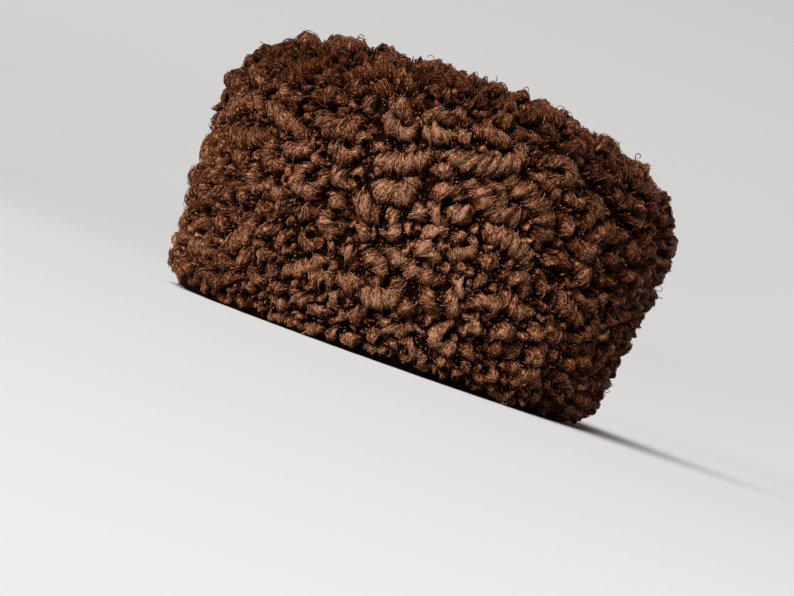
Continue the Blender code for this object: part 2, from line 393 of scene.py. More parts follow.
class Band(Chart):
    """The band: x runs round the hat from +X, and y up from the hem to the seam."""

    point = staticmethod(band_point)

    def __init__(self):
        super().__init__((0.0, 0.0), (BAND_ROUND, BAND_RISE), True)

    def holds(self, flat):
        up = flat[..., 1]
        return (up > EDGE_MARGIN) & (up < BAND_RISE - EDGE_MARGIN)

    def radius(self, flat):
        share = 1 - (1 - BEHIND_SHARE) * self.behind(flat)
        return CURL_RADIUS * share * self.hem_share(flat)

    @staticmethod
    def behind(flat):
        """1 behind the parting, where the curls are smaller and painted darker as shade, and 0 elsewhere.
        """
        return np.interp(centred(band_turn(flat)), BEHIND_TURNS, (0, 1, 1, 0))

    def part(self):
        """Takes the parting off the room."""
        turn, rise = (np.linspace(*ends, PARTING_POINTS) for ends in zip(*PARTING))
        flat = np.stack([turn / TURN * BAND_ROUND, rise], axis=-1)
        flat[:, 0] += PARTING_SWAY * np.sin(rise / PARTING_PITCH)
        self.fill(flat, np.full(len(flat), PARTING_HALF))

    @staticmethod
    def hem_share(flat):
        """Share of a full curl's radius, smaller near the hem."""
        rise = np.clip(flat[:, 1] / HEM_REACH, 0, 1)
        return HEM_SHARE + (1 - HEM_SHARE) * rise * rise * (3 - 2 * rise)

    @staticmethod
    def heading(flat):
        """The way the curls run: round the hat."""
        return np.zeros(len(flat))

    @staticmethod
    def relief(flat):
        """How uneven the curls' depths are."""
        return np.interp(flat[:, 1], HIGH_RISE, (1, HIGH_RELIEF))

    @staticmethod
    def tone(flat):
        """Painted light and shade of the fur, above or below 0: a lit front patch, shade high up and past
        the parting.
        """
        turn = centred(band_turn(flat) - PAINTED_LIGHT_TURN)
        middle, reach = PAINTED_LIGHT_RISE
        away = (turn / PAINTED_LIGHT_WIDTH) ** 2 + ((flat[:, 1] - middle) / reach) ** 2
        # Painted shade: darker high up on the shoulder and behind the parting
        high = np.interp(flat[:, 1], HIGH_RISE, (0, HIGH_PAINTED_SHADE)) + BEHIND_PAINTED_SHADE * Band.behind(flat)
        # Painted light: the fur is lighter over the patch at the front
        return high + PAINTED_LIGHT_TONE * np.exp(-away)


class Crown(Chart):
    """The crown: a flat oval with its middle at 0."""

    point = staticmethod(crown_point)

    def __init__(self):
        super().__init__(-CROWN_HALF, CROWN_HALF, False)

    def holds(self, flat):
        plan = flat / (CROWN_HALF - EDGE_MARGIN)
        return np.hypot(plan[..., 0], plan[..., 1]) < 1

    def radius(self, flat):
        return np.full(len(flat), CURL_RADIUS * CROWN_SHARE)

    @staticmethod
    def heading(flat):
        return np.arctan2(flat[:, 1], flat[:, 0]) + math.pi / 2

    @staticmethod
    def relief(flat):
        return HIGH_RELIEF

    @staticmethod
    def tone(flat):
        # Painted shade: the whole crown is darker
        return np.full(len(flat), CROWN_PAINTED_SHADE)


def draw_curls(chart, rng, size, long, sunk, depth_spread):
    """Curls tried at random places of a chart, as a dict of one column for each property."""
    place = rng.uniform(chart.low, chart.high, (TRIES, 2))
    often, lengths, bends, hooks = (np.array(column) for column in zip(*CURL_KINDS))
    kind = rng.choice(len(CURL_KINDS), TRIES, p=often)
    side = rng.choice([-1, 1], TRIES)
    radius = chart.radius(place) * size * rng.uniform(*CURL_SIZES, TRIES)
    wave = waves(place, np.random.default_rng(SEED + 1))
    mean_heading = chart.heading(place) + HEADING_WAVE * wave
    return {
        "place": place,
        "radius": radius,
        "length": radius * long * rng.uniform(*lengths[kind].T),
        "bend": side * np.radians(rng.uniform(*bends[kind].T)),
        "hook": side * np.radians(rng.uniform(*hooks[kind].T)),
        "heading": mean_heading + rng.normal(0, HEADING_SPREAD, TRIES),
        "depth": radius + sunk + rng.uniform(*DEPTH_SHARES, TRIES) * depth_spread * chart.relief(place),
        "slant": rng.choice([-1, 1], TRIES) * np.tan(rng.uniform(*SLANT, TRIES)),
        "taper": rng.uniform(*TAPER, TRIES),
        "nose": rng.uniform(*NOSE, TRIES),
        "lean": rng.uniform(-LEAN, LEAN, TRIES),
        "pitch": rng.uniform(*LUMP_PITCH, TRIES),
        "phase": rng.uniform(0, TURN, TRIES),
        # Each curl's random tone, plus the painted light and shade of its place on the chart
        "tone": rng.uniform(*CURL_TONES, TRIES) + chart.tone(place),
    }


def spines(curls, steps):
    """Chart points and headings at even steps along each curl's middle line."""
    share = (np.arange(steps) + 0.5) / steps
    heading = curls["heading"][:, None] + curls["bend"][:, None] * (share - 0.5)
    heading = heading + curls["hook"][:, None] * share**3
    run = (curls["length"] / steps)[:, None, None]
    step = run * ways(heading)
    points = np.concatenate([np.zeros((len(step), 1, 2)), np.cumsum(step, axis=1)], axis=1)
    points += (curls["place"] - points.mean(axis=1))[:, None]
    between = (heading[:, 1:] + heading[:, :-1]) / 2
    return points, np.concatenate([heading[:, :1], between, heading[:, -1:]], axis=1)


def radius_share(curls, share):
    """Share of a curl's radius along it: thinner at both ends, the more so at its hooked one."""
    return 1 - curls["taper"] * share**2 - curls["nose"] * (1 - share) ** 2


def radii_along(curls, steps):
    """Radius of each curl at even steps along it."""
    columns = {key: curls[key][:, None] for key in ("taper", "nose")}
    return curls["radius"][:, None] * radius_share(columns, np.linspace(0, 1, steps + 1))


def pack(chart, rng):
    """Curls laid side by side over a chart, large ones first, each in the tightest place for it."""
    chosen = []
    for size, long, sunk, depth_spread, spacing, rounds in PACK_PASSES:
        for _ in range(rounds):
            curls = draw_curls(chart, rng, size, long, sunk, depth_spread)
            points, _ = spines(curls, SPINE_CHECKS)
            radii = radii_along(curls, SPINE_CHECKS)
            spare = chart.room_at(points) - spacing * radii
            inside = chart.holds(points).all(axis=1)
            fits = np.flatnonzero(inside & (spare >= 0).all(axis=1))
            fits = fits[np.argsort(spare[fits].mean(axis=1), kind="stable")]
            kept = 0
            for i in fits:
                if kept < KEPT_EACH and (chart.room_at(points[i]) >= spacing * radii[i]).all():
                    chart.fill(points[i], radii[i])
                    chosen.append({name: column[i] for name, column in curls.items()})
                    kept += 1
    packed = {name: np.array([curl[name] for curl in chosen]) for name in chosen[0]}
    packed["line"], packed["way"] = spines(packed, SPINE_STEPS)
    return packed


def meet_band(crown, curls):
    """Takes the band's topmost curls off the crown's room, so that both meet over the seam."""
    points, _ = spines(curls, SPINE_CHECKS)
    below = BAND_RISE - points[..., 1]
    radii = radii_along(curls, SPINE_CHECKS)
    near = below < SEAM_REACH
    plan = ways(band_turn(points)) * (CROWN_HALF + below[..., None])
    crown.fill(plan[near], radii[near])


def on_curls(curls, which, along, angle, lift):
    """Chart places and depths on curls, by which, length along, angle round and share of the radius."""
    own = {key: column[which] for key, column in curls.items() if column.ndim == 1}
    share = np.clip(along / own["length"], 0, 1)
    step = share * SPINE_STEPS
    low = np.minimum(step.astype(int), SPINE_STEPS - 1)
    part = step - low
    line, way = curls["line"], curls["way"]
    middle = line[which, low] * (1 - part)[..., None] + line[which, low + 1] * part[..., None]
    way = way[which, low] * (1 - part) + way[which, low + 1] * part
    ahead = ways(way)
    past = along - share * own["length"]
    round_end = np.sqrt(np.clip(1 - (past / own["radius"]) ** 2, 0, 1))
    turn = along / own["pitch"] * TURN + own["phase"]
    ring = own["radius"] * radius_share(own, share) * (1 + LUMP_SHARE * np.sin(turn)) * round_end * lift
    over = np.cos(angle)
    over = np.where(over < 0, over * FLAT_UNDER, over)
    sway_turn, rise_turn = LUMP_TURNS
    sway = LUMP_SWAY * np.sin(sway_turn * turn + 2 * own["phase"])
    side = ring * (np.sin(angle) + own["lean"] * over) + sway
    flat = middle + side[..., None] * aside(ahead)
    flat = flat + (past + own["slant"] * ring * np.sin(angle))[..., None] * ahead
    rise = LUMP_RISE * np.sin(rise_turn * turn + own["phase"])
    depth = own["depth"] + END_DIP * (2 * share - 1) ** 4 + rise - ring * over
    return flat, depth


def curl_rings(length, radius, rng):
    """Rings of one curl: length along it, share of its radius and clump. The ends are dented points."""
    cap = np.radians(CAP_ANGLES)
    ribs = 2 * max(2, round(length / RIB_STEP / 2))
    body = np.linspace(0, length, ribs + 1)
    along = np.concatenate([-radius * np.cos(cap), body, length + radius * np.cos(cap[::-1])])
    clump = np.repeat(rng.normal(0, 1, len(along) // 2 + 1), 2)[:len(along)]
    rib = RIB_HEIGHT / radius * np.where(np.arange(len(along)) % 2, 1.0, -1.0)
    lift = 1 + CLUMP_SPREAD * clump + rib
    along = np.concatenate([[-radius * DENT_DEPTH], along, [length + radius * DENT_DEPTH]])
    return along, np.concatenate([[0], lift, [0]]), np.concatenate([[0], clump, [0]])


def ring_faces(rings, sides, first):
    """Quads between rings of points, and a triangle fan into the single point of each end."""
    ring = np.arange(1, rings - 2)[:, None] * sides
    side = np.arange(sides)
    nxt = (side + 1) % sides
    corners = [ring + side, ring + sides + side, ring + sides + nxt, ring + nxt]
    quads = np.stack(corners, axis=-1).reshape(-1, 4)
    last = (rings - 2) * sides
    start = np.stack([np.zeros(sides, int), sides + side, sides + nxt], axis=-1)
    end = np.stack([np.full(sides, last + sides), last + nxt, last + side], axis=-1)
    return quads + first, np.concatenate([start, end]) + first


def curls_over(chart, curls, rng):
    """Closed curls, wrapped onto the hat."""
    rings = [curl_rings(*row, rng) for row in zip(curls["length"], curls["radius"])]
    counts = np.array([len(ring[0]) for ring in rings])
    along, lift, clump = (np.concatenate(column)[:, None] for column in zip(*rings))
    sides = len(ROUND_ANGLES)
    which, along, lift, clump, angle = np.broadcast_arrays(
        np.repeat(np.arange(len(counts)), counts)[:, None], along, lift, clump, ROUND_ANGLES
    )
    ragged = lift * (1 + RAGGED * rng.normal(0, 1, lift.shape))
    flat, depth = on_curls(curls, which, along, angle, ragged)
    points = chart.point(flat, depth).reshape(-1, 3)
    points[:, 2] = np.maximum(points[:, 2], LOWEST)
    from_top = np.abs(centred(angle))
    signed = np.where(angle > math.pi, -from_top, from_top)
    tone = curls["tone"][which]
    data = {
        # Painted shade: darker the further round from the curl's top, and darkest at its dented ends
        "fall": np.where(lift == 0, 1.0, np.clip(CURL_FALL + from_top / FALL_ANGLE, 0, 1)),
        "tone": tone,
        "clump": clump,
        "depth": depth,
        "fibre": np.stack([along / MM, signed * curls["radius"][which] / MM, tone * 1000], axis=-1),
    }
    data = {key: value.reshape(-1, *value.shape[2:]) for key, value in data.items()}
    firsts = (np.cumsum(counts) - counts) * sides
    faces = [ring_faces(count, sides, first) for count, first in zip(counts, firsts)]
    quads, fans = (np.concatenate(column) for column in zip(*faces))
    return kept_points(points, quads, fans, data)


def kept_points(points, quads, fans, data):
    """The shape with only the points that a face uses."""
    used = np.zeros(len(points), bool)
    used[quads] = True
    used[fans] = True
    number = np.cumsum(used) - 1
    data = {key: value[used] for key, value in data.items()}
    return points[used], number[quads], number[fans], data


def add_object(name, data):
    made = bpy.data.objects.new(name, data)
    bpy.context.collection.objects.link(made)
    return made


def add_piece(name, shape, node, material):
    """A mesh object that rides on the hat, with its attributes."""
    points, quads, fans, data = shape
    sizes = np.concatenate([np.full(len(quads), 4), np.full(len(fans), 3)])
    corners = np.concatenate([quads.ravel(), fans.ravel()])
    mesh = bpy.data.meshes.new(name)
    mesh.vertices.add(len(points))
    mesh.vertices.foreach_set("co", points.ravel())
    mesh.loops.add(len(corners))
    mesh.loops.foreach_set("vertex_index", corners)
    mesh.polygons.add(len(sizes))
    mesh.polygons.foreach_set("loop_start", np.cumsum(sizes) - sizes)
    mesh.update(calc_edges=True)
    mesh.validate()
    mesh.shade_smooth()
    for key in ("fall", "tone", "clump", "depth"):
        layer = mesh.attributes.new(key, "FLOAT", "POINT")
        layer.data.foreach_set("value", data[key].astype(np.float32).ravel())
    layer = mesh.attributes.new("fibre", "FLOAT_VECTOR", "POINT")
    layer.data.foreach_set("vector", data["fibre"].astype(np.float32).ravel())
    mesh.materials.append(material)
    piece = add_object(name, mesh)
    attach(piece, "root")
    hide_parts(node)


def strands(centre, thick, data):
    """Thin closed three-sided strands with pointed ends, along rows of points, with their shades."""
    centre[..., 2] = np.maximum(centre[..., 2], LOWEST + LOCK_RADIUS)
    run = np.gradient(centre, axis=1)
    run /= np.linalg.norm(run, axis=-1, keepdims=True) + TINY
    first = np.cross(run, ASKEW)
    first /= np.linalg.norm(first, axis=-1, keepdims=True) + TINY
    second = np.cross(run, first)
    turns = np.arange(3) * TURN / 3
    ring = first[:, :, None] * np.cos(turns)[:, None] + second[:, :, None] * np.sin(turns)[:, None]
    ring = centre[:, :, None] + ring * thick[..., None, None]
    count, steps = centre.shape[:2]
    body = ring[:, 1:-1].reshape(count, -1, 3)
    points = np.concatenate([centre[:, :1], body, centre[:, -1:]], axis=1)
    each = points.shape[1]
    base = np.arange(count)[:, None] * each
    step = (np.arange(steps - 3)[:, None] * 3 + np.arange(3)).ravel() + 1
    side = np.tile(np.arange(3), steps - 3)
    nxt = step - side + (side + 1) % 3
    corners = [base + step, base + nxt, base + nxt + 3, base + step + 3]
    quads = np.stack(corners, axis=-1).reshape(-1, 4)
    side, last = np.arange(3), each - 4
    nxt = (side + 1) % 3
    start = np.stack([base + 0 * side, base + 1 + nxt, base + 1 + side], axis=-1)
    end = np.stack([base + last + side, base + last + nxt, base + each - 1 + 0 * side], axis=-1)
    fans = np.concatenate([start, end]).reshape(-1, 3)
    own = np.concatenate([[0], np.repeat(np.arange(1, steps - 1), 3), [steps - 1]])
    data = {key: value[:, own].reshape(count * each, *value.shape[2:]) for key, value in data.items()}
    return points.reshape(-1, 3), quads, fans, data


def strand_data(depth, angle, tone, length):
    """Painted shade of strands: the further an angle is from a curl's top, the nearer to the root and the
    darker.
    """
    shape = depth.shape
    t = np.linspace(0, 1, shape[1])
    tone = np.broadcast_to(tone[:, None], shape)
    return {
        "fall": np.clip(np.abs(angle) / FALL_ANGLE, 0, 1),
        "tone": tone,
        "clump": np.zeros(shape),
        "depth": depth,
        "fibre": np.stack([np.zeros(shape), length[:, None] * t / MM, tone * 1000], axis=-1),
    }


def locks_over(chart, curls, rng):
    """Locks of fibre that arch over each curl, with pointed ends that come off its sides."""
    reach = curls["length"] + 2 * LOCK_PAST * curls["radius"]
    first_depth, last_depth, least = LOCK_SHARE
    sunk = (curls["depth"] - curls["radius"] - first_depth) / (last_depth - first_depth)
    area = reach * curls["radius"] * (1 - (1 - least) * np.clip(sunk, 0, 1))
    number = np.ceil(area / LOCK_AREA).astype(int)
    which = np.repeat(np.arange(len(reach)), number)
    first = np.repeat(np.cumsum(number) - number, number)
    count = len(which)
    share = (np.arange(count) - first + rng.uniform(0, 1, count)) / number[which]
    start = (share * reach[which] - LOCK_PAST * curls["radius"][which])[:, None]
    t = np.linspace(0, 1, LOCK_POINTS)
    middle = rng.uniform(-LOCK_MIDDLE, LOCK_MIDDLE, count)[:, None]
    angle = middle + rng.uniform(*LOCK_REACH, count)[:, None] * (t - 0.5)
    peel = rng.uniform(0, LOCK_PEEL, count)[:, None] * (2 * t - 1) ** 4
    lift = 1 + rng.uniform(*LOCK_LIFT, count)[:, None] + peel
    bundle = np.sin(start / BUNDLE_LENGTH * TURN + curls["phase"][which][:, None] * 3)
    loose, gathered, bowed = LOCK_DRIFT
    drift = (rng.normal(0, loose, count)[:, None] + gathered * bundle) * (t - 0.5)
    drift = drift + rng.normal(0, bowed, count)[:, None] * np.sin(t * math.pi)
    wave = rng.uniform(0, TURN, count)[:, None] + t * rng.uniform(5, 9, count)[:, None]
    drift = drift + LOCK_WAVE * np.sin(wave)
    along = start + drift
    which = np.broadcast_to(which[:, None], along.shape)
    flat, depth = on_curls(curls, which, along, angle, lift)
    own = which[:, 0]
    swell = 0.10 + 0.90 * np.sin(t * math.pi) ** 0.8
    thick = LOCK_RADIUS * rng.uniform(0.6, 1.25, count)[:, None] * swell
    tone = np.clip(curls["tone"][own] + rng.normal(0, LOCK_TONES, count), *TONE_LIMITS)
    data = strand_data(depth, 0.6 * angle, tone, curls["radius"][own] * 3)
    return strands(chart.point(flat, depth), thick, data)


def loops_over(chart, curls, rng):
    """Small loops of fibre that stand up off the outermost curls."""
    outer = np.flatnonzero(curls["depth"] - curls["radius"] < LOOP_DEPTH)
    count = int(LOOP_SHARE * len(outer))
    which = rng.choice(outer, count, replace=False)
    along = (rng.uniform(0, 1, count) * curls["length"][which])[:, None]
    angle = rng.uniform(-0.6, 0.6, count)[:, None]
    base, depth = on_curls(curls, which[:, None], along, angle, 0.98)
    turn = np.linspace(-0.4, rng.uniform(2.8, 6.4, count), LOOP_POINTS, axis=1)
    size = rng.uniform(*LOOP_SIZE, count)[:, None]
    ahead = ways(rng.uniform(0, TURN, count)[:, None])
    shrink = 1 - 0.06 * turn
    flat = base + (size * shrink * np.sin(turn))[..., None] * ahead
    flat = flat + (0.28 * size * turn)[..., None] * aside(ahead)
    depth = depth - size * (1 - shrink * np.cos(turn))
    thick = LOOP_RADIUS * rng.uniform(0.7, 1.3, count)[:, None] * np.linspace(1.0, 0.45, LOOP_POINTS)
    tone = rng.uniform(0.2, 0.9, count)
    data = strand_data(np.maximum(depth, 0), 0.25 * np.ones_like(depth), tone, 6 * size[:, 0])
    return strands(chart.point(flat, depth), thick, data)


def under_fur(chart, rng):
    """Short fibres, painted dark as shade, that stand on the hide wherever the curls leave a gap."""
    size = chart.high - chart.low
    place = rng.uniform(chart.low, chart.high, (int(UNDER_TRIES * size[0] * size[1]), 2))
    place = place[chart.holds(place) & (chart.room_at(place) > UNDER_ROOM)]
    count = len(place)
    t = np.linspace(0, 1, UNDER_POINTS)
    way = rng.uniform(0, TURN, count)[:, None] + rng.normal(0, UNDER_TURN, count)[:, None] * t
    lean = rng.uniform(0.2, 1.0, count)[:, None] * UNDER_LEAN * t
    flat = place[:, None] + lean[..., None] * ways(way)
    rise = HIDE_DEPTH - rng.uniform(*UNDER_RISE, count)[:, None]
    depth = HIDE_DEPTH + UNDER_SUNK - rise * np.sin(t * UNDER_BOW) / math.sin(UNDER_BOW)
    thick = np.broadcast_to(UNDER_RADIUS * rng.uniform(0.6, 1.3, count)[:, None], depth.shape)
    # A random tone with the painted shade of its place, but none of the painted light
    tone = rng.uniform(0, 0.7, count) + np.minimum(chart.tone(place), 0)
    angle = FALL_ANGLE * (UNDER_SHADE[0] - UNDER_SHADE[1] * t) * np.ones_like(depth)
    data = strand_data(depth, angle, tone, np.full(count, 6 * MM))
    return strands(chart.point(flat, depth), thick, data)


def hairs_over(chart, curls, rng):
    """Stray hairs that lift off the curls."""
    number = np.ceil(curls["length"] / HAIR_PITCH).astype(int)
    which = np.repeat(np.arange(len(number)), number)
    count = len(which)
    t = np.linspace(0, 1, HAIR_POINTS)
    start = (rng.uniform(0, 1, count) * curls["length"][which])[:, None]
    turn = rng.uniform(-0.3, 1.0, count)[:, None] + rng.uniform(0.5, 1.6, count)[:, None] * t
    angle = rng.choice([-1, 1], count)[:, None] * turn
    lift = 1 + rng.uniform(*HAIR_LIFT, count)[:, None] * t**1.5
    along = start + rng.normal(0, HAIR_DRIFT, count)[:, None] * t
    which = np.broadcast_to(which[:, None], along.shape)
    flat, depth = on_curls(curls, which, along, angle, lift)
    thick = np.broadcast_to(HAIR_RADIUS * np.linspace(1, 0.35, HAIR_POINTS), along.shape)
    tone = rng.uniform(0.3, 1, count)
    data = strand_data(np.zeros_like(depth), 0.2 * angle, tone, curls["radius"][which[:, 0]] * 1.5)
    return strands(chart.point(flat, depth), thick, data)


def joined(shapes):
    """Several shapes of points, quads, triangles and shades as one."""
    points, quads, fans, data = zip(*shapes)
    firsts = np.cumsum([0] + [len(own) for own in points[:-1]])
    quads = np.concatenate([own + first for own, first in zip(quads, firsts)])
    fans = np.concatenate([own + first for own, first in zip(fans, firsts)])
    data = {key: np.concatenate([own[key] for own in data]) for key in data[0]}
    return np.concatenate(points), quads, fans, data


def strip_faces(rows, columns):
    """Quads of a grid of rows that each close round the hat."""
    row = np.arange(rows - 1)[:, None] * columns
    column = np.arange(columns)
    nxt = (column + 1) % columns
    corners = [row + column, row + nxt, row + columns + nxt, row + columns + column]
    return np.stack(corners, axis=-1).reshape(-1, 4)


def hide_data(count, inside):
    """Shades of a hide: the painted root shade outside, and the suede's own from the first point inside
    on.
    """
    fall = np.full(count, 1.0)
    fall[inside:] = 0
    return {
        "fall": fall,
        "tone": np.full(count, 0.5),
        "clump": np.zeros(count),
        "depth": np.full(count, HIDE_DEPTH),
        "fibre": np.zeros((count, 3)),
    }


def band_hide(material):
    """The hide of the band: painted dark as shade under the curls, a flat hem, and plain suede inside."""
    up = np.linspace(0, BAND_RISE, HIDE_ROWS)
    rise = np.clip(up / HEM_RISE, 0, 1)
    depth = HIDE_DEPTH * rise * rise * (3 - 2 * rise)
    flat = np.stack(np.broadcast_arrays(HIDE_TURNS / TURN * BAND_ROUND, up[:, None]), axis=-1)
    outer = band_point(flat, depth[:, None])
    sections = [inner_point(SEAM_ANGLE * share) for share in CORNER_RINGS]
    wall = SHOULDER_CENTRE - HEM_ROUNDING
    sections += [(WALL - SIDE_FLARE * share, HEM_ROUNDING + share * wall) for share in WALL_RINGS]
    sections.append((WALL - HEM_ROUNDING, 0.0))
    inner = np.stack([oval(HIDE_TURNS, *section) for section in sections])
    points = np.concatenate([outer, inner, outer[:1]])
    rows = len(points)
    faces = strip_faces(rows, HIDE_ROUND)
    faces = np.where(faces >= (rows - 1) * HIDE_ROUND, faces - (rows - 1) * HIDE_ROUND, faces)
    points = points[:-1].reshape(-1, 3)
    data = hide_data(len(points), HIDE_ROWS * HIDE_ROUND)
    shape = points, faces, np.empty((0, 3), int), data
    add_piece("band_hide", shape, "side_band", material)


def crown_hide(material):
    """The hide of the crown: domed and painted dark as shade under the curls, and plain suede underneath.
    """
    shares = np.linspace(0, 1, HIDE_ROWS)[1:]
    top = crown_at(*np.broadcast_arrays(shares[:, None], HIDE_TURNS), HIDE_DEPTH)
    corner = [inner_point(angle) for angle in np.linspace(SEAM_ANGLE, math.pi / 2, CORNER_STEPS)]
    inner = [oval(HIDE_TURNS, inset, height + CROWN_LIFT) for inset, height in corner]
    inset, height = corner[-1]
    for share in CROWN_RINGS:
        dome = CROWN_DOME * (1 - share * share)
        ring = oval(HIDE_TURNS, inset, height + CROWN_LIFT + dome)
        ring[:, :2] *= share
        inner.append(ring)
    points = np.concatenate([top, np.stack(inner)])
    rows = len(points)
    faces = strip_faces(rows, HIDE_ROUND)[:, ::-1]
    count = rows * HIDE_ROUND
    ends = np.array([[0, 0, top[0, :, 2].max()], [0, 0, height + CROWN_LIFT + CROWN_DOME]])
    points = np.concatenate([points.reshape(-1, 3), ends])
    column = np.arange(HIDE_ROUND)
    nxt = (column + 1) % HIDE_ROUND
    last = (rows - 1) * HIDE_ROUND
    fans = np.concatenate([
        np.stack([np.full(HIDE_ROUND, count), column, nxt], axis=-1),
        np.stack([np.full(HIDE_ROUND, count + 1), last + nxt, last + column], axis=-1),
    ])
    data = hide_data(len(points), len(shares) * HIDE_ROUND)
    # The top's middle point outside also takes the painted root shade
    data["fall"][count] = 1
    add_piece("crown_hide", (points, faces, fans, data), "crown_top", material)


class Nodes:
    """Short calls to build a material's nodes. An input i0, i1 and so on goes by its number."""

    def __init__(self, name):
        self.material = bpy.data.materials.new(name)
        self.material.use_nodes = True
        self.tree = self.material.node_tree
        self.shader = self.tree.nodes["Principled BSDF"]

    def link(self, source, target):
        self.tree.links.new(source, target)

    def add(self, kind, settings=None, **inputs):
        node = self.tree.nodes.new(kind)
        for key, value in (settings or {}).items():
            setattr(node, key, value)
        for key, value in inputs.items():
            number = key[1:]
            socket = node.inputs[int(number) if number.isdigit() else key.replace("_", " ")]
            if isinstance(value, bpy.types.NodeSocket):
                self.link(value, socket)
            else:
                socket.default_value = value
        return node

    def attribute(self, name, output):
        return self.add("ShaderNodeAttribute", {"attribute_name": name}).outputs[output]

    def maths(self, operation, first, second, clamp=False):
        settings = {"operation": operation, "use_clamp": clamp}
        return self.add("ShaderNodeMath", settings, i0=first, i1=second).outputs[0]

    def plus(self, first, second):
        return self.maths("ADD", first, second)

    def minus(self, first, second):
        return self.maths("SUBTRACT", first, second)

    def times(self, first, second, clamp=False):
        return self.maths("MULTIPLY", first, second, clamp)

    def vectors(self, operation, first, second, output="Vector"):
        node = self.add("ShaderNodeVectorMath", {"operation": operation}, i0=first, i1=second)
        return node.outputs[output]

    def noise(self, vector, scale, detail):
        place = self.vectors("MULTIPLY", vector, scale)
        return self.add("ShaderNodeTexNoise", None, Vector=place, Scale=1.0, Detail=detail).outputs["Fac"]

    def ramp(self, value, stops):
        node = self.add("ShaderNodeValToRGB", None, i0=value)
        while len(node.color_ramp.elements) < len(stops):
            node.color_ramp.elements.new(0.5)
        for element, (place, colour) in zip(node.color_ramp.elements, stops):
            element.position = place
            element.color = (*colour, 1.0)
        return node.outputs["Color"]

    def span(self, value, low, high):
        """The value's place between two limits, from 0 to 1."""
        limits = {"From_Min": low, "From_Max": high}
        return self.add("ShaderNodeMapRange", {"clamp": True}, Value=value, **limits).outputs[0]

    def bump(self, strength, distance, height):
        node = self.add("ShaderNodeBump", None, Strength=strength, Distance=distance, Height=height)
        self.link(node.outputs["Normal"], self.shader.inputs["Normal"])

    def surface(self, colour, roughness, specular):
        self.link(colour, self.shader.inputs["Base Color"])
        self.shader.inputs["Roughness"].default_value = roughness
        self.shader.inputs["Specular IOR Level"].default_value = specular


# Colours of a fibre from the painted shade at its roots to the light tips
FIBRE_COLOURS = (
    (0.00, (0.0070, 0.0008, 0.0002)),
    (0.30, (0.0400, 0.0085, 0.0026)),
    (0.62, (0.1600, 0.0490, 0.0176)),
    (1.00, (0.4250, 0.2060, 0.1170)),
)

# Streaks along the fibres: share, scale and detail of each noise, their bend and limits
STREAKS = ((0.36, (2.2, 0.45, 1.0), 2.0), (0.38, (1.1, 0.32, 1.0), 2.0), (0.26, (1.6, 1.2, 1.0), 1.0))
FIBRE_BEND = 2.2
STREAK_SPAN = (0.40, 0.60)

# Painted root shade: weights of the place round the curl, of the depth and of the streaks, and their
# limits
ROOT_SHADE_FALL = 0.55
ROOT_SHADE_DEPTH = 0.55
ROOT_SHADE_STREAK = 0.5
ROOT_SHADE_SPAN = (0.29, 1.10)

# Light of a fibre: its base and the weights of streak, tone (with painted light and shade in it) and
# clump, then its hue
LIGHT_BASE = 0.40
LIGHT_STREAK = 0.62
LIGHT_TONE = 0.26
LIGHT_CLUMP = 0.05
HUE = 0.493
HUE_SPREAD = 0.016


def fur_material(name):
    """Fibres across the curls: fine streaks, painted shade at the roots, and a tone for each curl."""
    made = Nodes(name)
    fibre = made.attribute("fibre", "Vector")
    bent = made.times(made.minus(made.noise(fibre, (0.4, 0.5, 1.0), 1.0), 0.5), FIBRE_BEND)
    bent = made.add("ShaderNodeCombineXYZ", None, X=bent).outputs["Vector"]
    fibre = made.vectors("ADD", fibre, bent)
    fine, coarse, broken = (
        made.times(made.noise(fibre, scale, detail), share) for share, scale, detail in STREAKS
    )
    streak = made.span(made.plus(made.plus(fine, coarse), broken), *STREAK_SPAN)
    # Painted shade at the roots, from the place round the curl, the depth under the tips and the streaks
    fall = made.times(made.attribute("fall", "Fac"), ROOT_SHADE_FALL)
    depth = made.times(made.times(made.attribute("depth", "Fac"), 1 / HIDE_DEPTH), ROOT_SHADE_DEPTH)
    shift = made.times(made.minus(0.5, streak), ROOT_SHADE_STREAK)
    root = made.span(made.plus(made.plus(fall, depth), shift), *ROOT_SHADE_SPAN)
    tone = made.times(made.minus(made.attribute("tone", "Fac"), 0.5), LIGHT_TONE)
    clump = made.times(made.attribute("clump", "Fac"), LIGHT_CLUMP)
    light = made.plus(made.times(streak, LIGHT_STREAK), made.plus(tone, clump))
    light = made.times(made.plus(light, LIGHT_BASE), made.minus(1.0, root), clamp=True)
    hue = made.span(made.noise(fibre, (0.05, 0.05, 0.37), 1.0), 0.3, 0.7)
    hue = made.plus(made.times(hue, HUE_SPREAD), HUE)
    colour = made.add("ShaderNodeHueSaturation", None, Hue=hue, Color=made.ramp(light, FIBRE_COLOURS))
    made.bump(0.9, 0.0005, streak)
    made.surface(colour.outputs["Color"], 0.60, 0.08)
    made.shader.inputs["Specular Tint"].default_value = (1.0, 0.62, 0.44, 1.0)
    return made.material


# Hide: the colours of the suede inside and of the painted shade at the roots outside
SUEDE_COLOUR = (0.060, 0.032, 0.020)
ROOT_SHADE_COLOUR = (0.0090, 0.0030, 0.0014)


